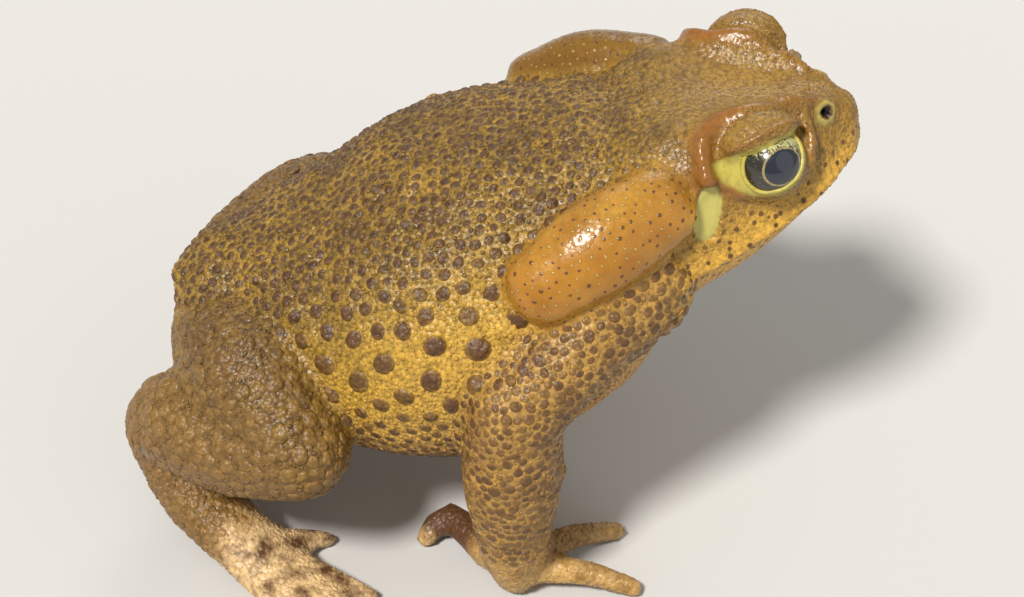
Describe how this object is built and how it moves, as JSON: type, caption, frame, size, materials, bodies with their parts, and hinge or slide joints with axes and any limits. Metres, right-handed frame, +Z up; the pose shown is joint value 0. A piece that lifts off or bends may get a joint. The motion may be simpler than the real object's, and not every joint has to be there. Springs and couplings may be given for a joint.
{
  "type": "cane toad model",
  "caption": "Still model of a cane toad standing raised on its forelegs, with a warty back, long parotoid glands and folded hind legs.",
  "frame": {"origin": "on the floor, under the middle of the bounding box", "axes": "+X the way the toad faces, +Y its left side, +Z up"},
  "size_m": [0.126, 0.1198, 0.0865],
  "materials": {
    "back_skin": "warty, moist satin",
    "limb_skin": "warty, moist satin",
    "belly_skin": "finely granular satin",
    "gland_skin": "smooth and glossy, with pores",
    "digit_skin": "wrinkled satin",
    "eardrum": "smooth matt",
    "eye": "wet gloss"
  },
  "bodies": {
    "root": {"head": "back_skin", "lower_jaw": "belly_skin", "torso": "back_skin", "eye_right": "eye", "eye_left": "eye", "tympanum_right": "eardrum", "tympanum_left": "eardrum", "parotoid_right": "gland_skin", "parotoid_left": "gland_skin", "upper_arm_right": "limb_skin", "upper_arm_left": "limb_skin", "forearm_right": "limb_skin", "forearm_left": "limb_skin", "hand_right": "digit_skin", "hand_left": "digit_skin", "thigh_right": "limb_skin", "thigh_left": "limb_skin", "shank_right": "limb_skin", "shank_left": "limb_skin", "tarsus_right": "limb_skin", "tarsus_left": "limb_skin", "foot_right": "digit_skin", "foot_left": "digit_skin"}
  },
  "joints": []
}
